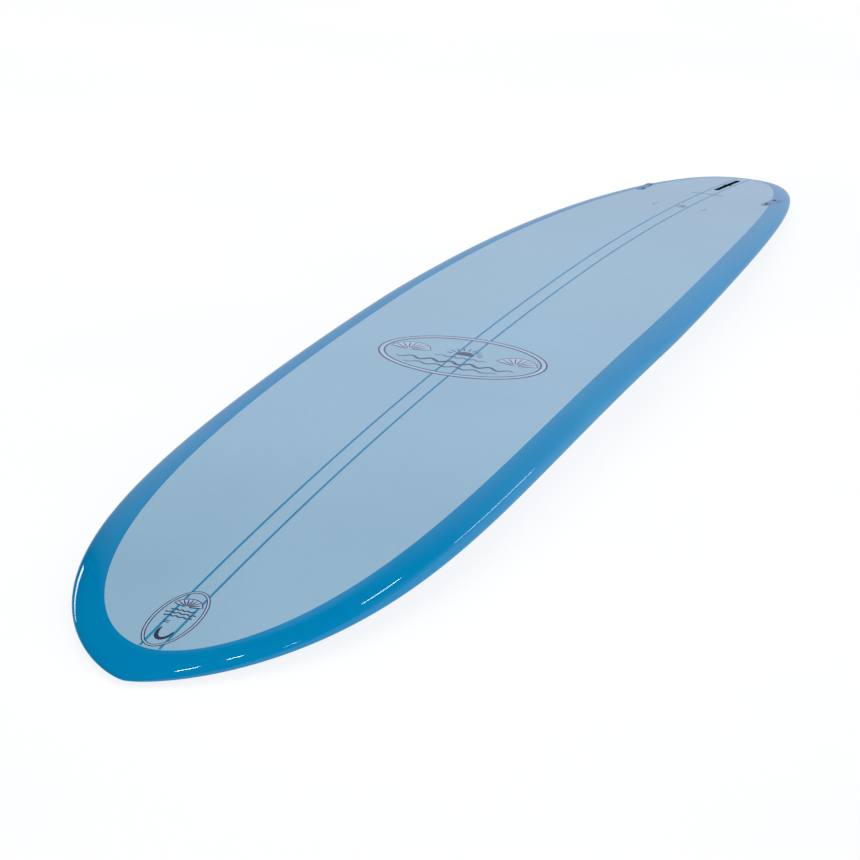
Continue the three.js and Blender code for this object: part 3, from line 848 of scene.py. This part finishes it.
# %% Side boxes and grub screws
def side_box(hand, name):
    place = side_frame(hand)
    body = block(SIDE_BOX["length"], SIDE_BOX["width"], -SIDE_BOX["depth"], 0, True)
    openings = []
    for end in (1, -1):
        tab_place = (end * TAB_SLOT["along"], hand * TAB_SLOT["across"])
        grub_place = (end * GRUB["along"], hand * GRUB["across"])
        slot = block(TAB_SLOT["length"], TAB_SLOT["width"], -TAB_SLOT["depth"], CLEAR, True, tab_place)
        reach, floor = GRUB["radius"] + GAP, GRUB["bottom"] - GAP
        bore = turned(post(reach, floor, CLEAR), grub_place)
        openings += [set_in(slot, place), set_in(bore, place)]
    for x in range(-4 * CUT_EVERY, 4 * CUT_EVERY + 1, CUT_EVERY):
        everything = body.verts[:] + body.edges[:] + body.faces[:]
        bmesh.ops.bisect_plane(body, geom=everything, dist=1e-4, plane_co=(x, 0, 0), plane_no=(1, 0, 0))
    make_piece(f"side_box_{name}", set_in(body, place, BOTTOM), PALE_PLASTIC,
               replaces=[f"side_fin_box_{name}"], cuts=openings, sharp=30)


def grub_screw(hand, name, end, end_name):
    place, middle = side_frame(hand), (end * GRUB["along"], hand * GRUB["across"])
    core, top, bottom = GRUB["radius"] - 0.3, GRUB["top"], GRUB["bottom"]
    thread = threaded(GRUB["radius"], 0.8, bottom + 0.4, top - 0.3)
    point = [(0, bottom), (core - 0.4, bottom)]
    barrel = turned([*point, *thread, (core - 0.2, top), (0, top)], middle)
    key = turned(post(HEX_KEY["radius"], top - HEX_KEY["depth"], 0), middle, steps=6)
    make_piece(f"grub_{name}_{end_name}_turned", set_in(barrel, place), STEEL, f"grub_{name}_{end_name}",
               [f"grub_screw_{name}_{end_name}"], cuts=[set_in(key, place)], sharp=35)


for hand, name in ((-1, "left"), (1, "right")):
    side_box(hand, name)
    for end, end_name in ((1, "front"), (-1, "rear")):
        grub_screw(hand, name, end, end_name)

# %% [markdown]
# ## Leash plug and vent plug
#
# Both are turned shapes, so a profile is spun round the plug's axis. The leash plug is a cup
# with a steel bar across it, which the leash's cord is tied to. The vent lets air out of the
# foam in the sun: a slotted screw closes it, and a rubber ring under the head keeps water out.

# %% Turn the plugs
wall, hollow, base = LEASH["radius"], LEASH["hollow"], -LEASH["depth"]
cup_floor = base + LEASH["floor"]
cup_outside = [(0, base), (wall - 0.6, base), (wall, base + 0.6), (wall, -0.3), (wall - 0.3, 0)]
cup_inside = [(hollow + 0.5, 0), (hollow, -0.5), (hollow, cup_floor + 1), (hollow - 1, cup_floor)]
cup_profile = [*cup_outside, *cup_inside, (0, cup_floor)]
BAR = {"radius": 1.6, "reach": 13, "depth": 5}
shaft, reach = BAR["radius"], BAR["reach"]
bar_end = [(shaft, reach - 0.4), (shaft - 0.4, reach), (0, reach)]
bar = turned([(radius, -along) for radius, along in reversed(bar_end)] + bar_end, steps=32)
bar_hole = turned(post(shaft + GAP, -reach - 0.5, reach + 0.5), steps=32)
lie_across = Matrix.Translation((0, 0, -BAR["depth"])) @ Matrix.Rotation(math.radians(90), 4, "X")
for rod in (bar, bar_hole):
    bmesh.ops.transform(rod, matrix=lie_across, verts=rod.verts)
make_piece("leash_cup", set_in(turned(cup_profile), leash_frame, DECK), BLACK_PLASTIC,
           replaces=["leash_plug_cup"], cuts=[set_in(bar_hole, leash_frame)])
make_piece("leash_bar", set_in(bar, leash_frame), STEEL, replaces=["leash_plug_bar"])

wall, bore, base = VENT["radius"], VENT["bore"], -VENT["depth"]
recess, ledge = VENT["recess"], -VENT["recess_depth"]
vent_outside = [(bore, base), (wall - 0.4, base), (wall, base + 0.4), (wall, -0.3), (wall - 0.3, 0)]
vent_inside = [(recess + 0.4, 0), (recess, -0.4), (recess, ledge), (bore, ledge), (bore, base)]
vent_profile = vent_outside + vent_inside
make_piece("vent_body", set_in(turned(vent_profile), vent_frame, DECK), BLACK_PLASTIC,
           replaces=["vent_plug_body"])
VENT_SCREW = {"radius": 4, "head": 6.2, "seat": -2.7, "top": -0.5, "tip": -13}
radius, head, seat, top, tip = (VENT_SCREW[key] for key in ("radius", "head", "seat", "top", "tip"))
shank = [(0, tip), (radius - 0.8, tip), *threaded(radius, 1.2, tip + 0.4, seat - 0.7), (radius, seat)]
head_side = [(head - 0.2, seat), (head, seat + 0.2), (head, top - 0.5)]
head_top = [(head - 0.3, top - 0.1), (head - 0.7, top), (0, top)]
vent_screw = turned(shank + head_side + head_top)
make_piece("vent_screw_turned", set_in(vent_screw, vent_frame), BLACK_PLASTIC, "vent", ["vent_screw"],
           cuts=[set_in(block(18, 1.4, -1.6, CLEAR), vent_frame)], sharp=35)
O_RING = {"radius": 5.2, "section": 0.75, "middle": -3.8}
section = [
    (O_RING["radius"] + O_RING["section"] * math.cos(a), O_RING["middle"] + O_RING["section"] * math.sin(a))
    for a in (math.tau * k / 16 for k in range(17))
]
make_piece("vent_ring", set_in(turned(section), vent_frame), RUBBER, "vent", ["vent_o_ring"],
           sharp=80)

# %% [markdown]
# ## Inside the board
#
# The foam halves, the stringer and the dense blocks are hidden under the laminate, but the part
# can be taken to pieces, so they get a finish too. Their frame solids are kept as they are.
# Blown foam shows tiny cells. The stringer is sawn wood with its grain along the board.

# %% Foam and wood
def foam(name, colour, shade, cells):
    material, shader, place = new_material(name, Specular_IOR_Level=0.15)
    cell = place.node("ShaderNodeTexVoronoi", Vector=place, Scale=cells)
    drift = place.noise(9.0, 3.0)
    feed(
        shader,
        Base_Color=(drift.between(0.3, 0.7) * 0.6 + cell * 0.4).mix(colour, shade),
        Roughness=drift.between(0.3, 0.7) * 0.1 + 0.82,
        Normal=bump(cell, 0.4, 0.0004),
    )
    return material


WHITE_FOAM = foam("blown white foam", rgb(242, 240, 230), rgb(226, 221, 204), 900.0)
DENSE_FOAM = foam("dense yellow foam", rgb(219, 203, 164), rgb(198, 178, 132), 1600.0)

WOOD, wood_shader, wood_place = new_material("stringer wood", Specular_IOR_Level=0.25)
sawn = wood_place.stretched(0.35, 6.0, 6.0)
across_grain = {"bands_direction": "Z"}
rings = sawn.node("ShaderNodeTexWave", across_grain, 1, Vector=sawn, Scale=9.0, Distortion=6.0, Detail=3.0)
pores = wood_place.stretched(4.0, 160.0, 160.0).noise(12.0, 3.0)
feed(
    wood_shader,
    Base_Color=(rings * 0.7 + pores * 0.3).mix(rgb(214, 174, 118), rgb(156, 108, 62)),
    Roughness=pores.between(0.3, 0.7) * 0.2 + 0.55,
    Normal=bump(pores, 0.3, 0.0003),
)
INSIDE = {
    WHITE_FOAM: ["foam_core_left", "foam_core_right"],
    DENSE_FOAM: ["fin_box_foam", "side_box_foam_left", "side_box_foam_right", "leash_plug_foam"],
    WOOD: ["stringer", "stringer_tail_end"],
}
for material, names in INSIDE.items():
    for name in names:
        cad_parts[name].data.materials.clear()
        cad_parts[name].data.materials.append(material)
    print(material.name, "on", ", ".join(names))

# %% [markdown]
# ## Floor, light and camera
#
# The board lies on its deck on a pale floor, which gives off most of its own light and so holds
# only a faint shadow. A gloss surface shows whatever is around it, so the light that shapes the
# colour and the light that is reflected are kept apart, as a studio does with flags. A wide
# overhead sun and the floor light the board but leave no reflection, and small lamps draw the
# short bright lines on the rail. In the gloss the sky is two soft walls, one beyond the tail and
# one beside the board, with a narrow doorway next to the first. They veil the far end and the
# rail's edge and leave the near end deep.

# %% Floor
floor_mesh = bmesh.new()
bmesh.ops.create_grid(floor_mesh, x_segments=1, y_segments=1, size=30)
floor = object_from("floor", floor_mesh)
FLOOR, floor_shader, floor_place = new_material(
    "pale floor", Specular_IOR_Level=0.0, Emission_Strength=0.86
)
clouds = floor_place.noise(0.8, 2.0).between(0.3, 0.7)
feed(
    floor_shader,
    Base_Color=clouds.mix(rgb(106, 106, 108), rgb(101, 101, 104)),
    Emission_Color=clouds.mix(rgb(255, 255, 255), rgb(253, 254, 255)),
    Roughness=floor_place.noise(2.0).between(0.3, 0.7) * 0.1 + 0.85,
)
floor.data.materials.append(FLOOR)
floor.visible_glossy = False


# %% Lamps and world
def softbox(name, place, aim, size, power):
    """A small lamp that shows in the gloss as a bright line."""
    data = bpy.data.lights.new(name, "AREA")
    data.shape = "RECTANGLE"
    data.size, data.size_y = size
    data.energy = power
    lamp = bpy.data.objects.new(name, data)
    scene.collection.objects.link(lamp)
    lamp.location = place
    lamp.rotation_euler = (Vector(aim) - Vector(place)).to_track_quat("-Z", "Y").to_euler()
    return lamp


sun_data = bpy.data.lights.new("overhead", "SUN")
sun_data.energy, sun_data.angle = 0.9, math.radians(70)
overhead = bpy.data.objects.new("overhead", sun_data)
scene.collection.objects.link(overhead)
overhead.rotation_euler = (math.radians(12), math.radians(-16), 0)
overhead.visible_glossy = False
# Each lamp: where it stands, what it is aimed at, its width and height, and its power.
LAMPS = {
    "nose_lamp": ((0.40, -0.62, 3.20), (1.40, 0.07, 0.0), (0.22, 0.10), 1.7),
    "second_lamp": ((0.08, -0.33, 3.20), (1.36, 0.11, 0.0), (0.16, 0.08), 1.0),
    "third_lamp": ((0.37, 0.93, 3.10), (1.29, 0.17, 0.03), (0.06, 0.20), 0.7),
    "fourth_lamp": ((-0.94, 0.19, 2.73), (1.13, 0.22, 0.05), (0.06, 0.36), 1.1),
    "fifth_lamp": ((-1.72, 1.02, 2.14), (0.88, 0.26, 0.06), (0.09, 0.80), 1.3),
    "side_strip": ((-0.38, -3.07, 0.97), (1.30, -0.16, 0.03), (1.00, 0.30), 5.0),
}
for name, lamp in LAMPS.items():
    softbox(name, *lamp)

world = bpy.data.worlds.new("studio")
scene.world = world
world.use_nodes = True
tree = world.node_tree
sky = Socket(tree, tree.nodes.new("ShaderNodeTexCoord").outputs["Generated"])
ahead, beside, up = (sky.node("ShaderNodeSeparateXYZ", output=k, Vector=sky) for k in range(3))
far_wall = (0.68 + up.between(0.1, 0.3) * 0.12) * (1 - up.between(0.45, 0.75))
far_wall = far_wall * (1 - ahead.between(-0.76, -0.62))
side_wall = beside.between(0.1, 0.4) * (1 - up.between(0.65, 0.85)) * 0.95
doorway = beside.between(-0.5, -0.42) * (1 - beside.between(-0.34, -0.25))
doorway = doorway * (1 - ahead.between(-0.66, -0.58)) * (1 - up.between(0.7, 0.85)) * 0.5
under = (1 - up.between(-0.02, 0.02)) * 0.6
walls = sky.maths("MAXIMUM", far_wall, side_wall)
glow = sky.maths("MAXIMUM", walls, sky.maths("MAXIMUM", doorway, under))
wash = 0.43 + beside.between(0.1, 0.8) * 1.1 + (1 - beside.between(-0.9, -0.2)) * 0.3
to_camera, to_colour, to_gloss = (sky.node("ShaderNodeLightPath", output=k) for k in (0, 2, 3))
strength = to_camera + to_colour * wash + to_gloss * glow
tint = to_gloss.mix(rgb(255, 255, 255), rgb(222, 232, 255))
tree.links.new(tint.link, tree.nodes["Background"].inputs["Color"])
tree.links.new(strength.link, tree.nodes["Background"].inputs["Strength"])
world.cycles.sampling_method = "NONE"

# %% Camera
CAMERA_PLACE = Vector((3.6572, 1.3664, 1.3405))
YAW, PITCH, ROLL = -2.73751, -0.3638, 0.02305
camera_data = bpy.data.cameras.new("camera")
camera_data.lens, camera_data.sensor_width = 93.48, 36
camera = bpy.data.objects.new("camera", camera_data)
scene.collection.objects.link(camera)
look = Vector((math.cos(PITCH) * math.cos(YAW), math.cos(PITCH) * math.sin(YAW), math.sin(PITCH)))
level_right = look.cross(Vector((0, 0, 1))).normalized()
level_up = level_right.cross(look)
camera_right = level_right * math.cos(ROLL) + level_up * math.sin(ROLL)
camera_up = camera_right.cross(look)
camera_turn = Matrix((camera_right, camera_up, -look)).transposed().to_4x4()
camera.matrix_world = Matrix.Translation(CAMERA_PLACE) @ camera_turn
scene.camera = camera
print("camera at", tuple(CAMERA_PLACE))
